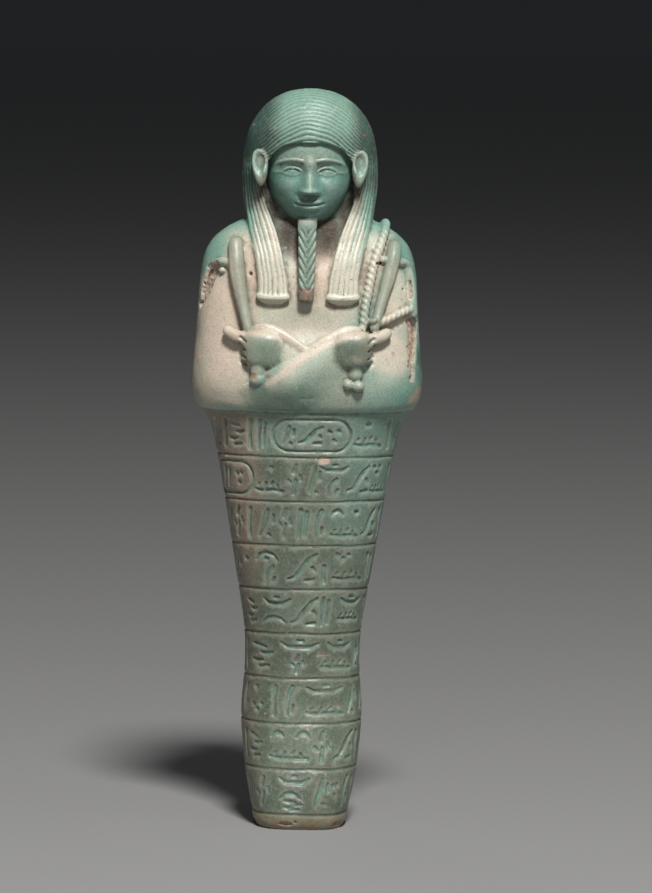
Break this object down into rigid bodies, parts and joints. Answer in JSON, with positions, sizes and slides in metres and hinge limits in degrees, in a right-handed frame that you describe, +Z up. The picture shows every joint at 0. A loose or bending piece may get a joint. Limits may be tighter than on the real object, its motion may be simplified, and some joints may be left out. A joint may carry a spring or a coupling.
{
  "type": "ushabti figurine",
  "caption": "Mummy-shaped standing funerary figurine in turquoise faience, arms folded over two hoes, with a striped wig, plaited beard, carved rows and a back pillar.",
  "frame": {"origin": "on the flat underside, below the body's axis", "axes": "+Z up from the underside to the top of the wig, -Y the figure's front, +X to the right of someone facing it"},
  "size_m": [0.0582, 0.0377, 0.185],
  "materials": {
    "faience": "satin glaze, turquoise to olive green with pale worn areas"
  },
  "bodies": {
    "root": {"ushabti_figure": "faience"}
  },
  "joints": []
}
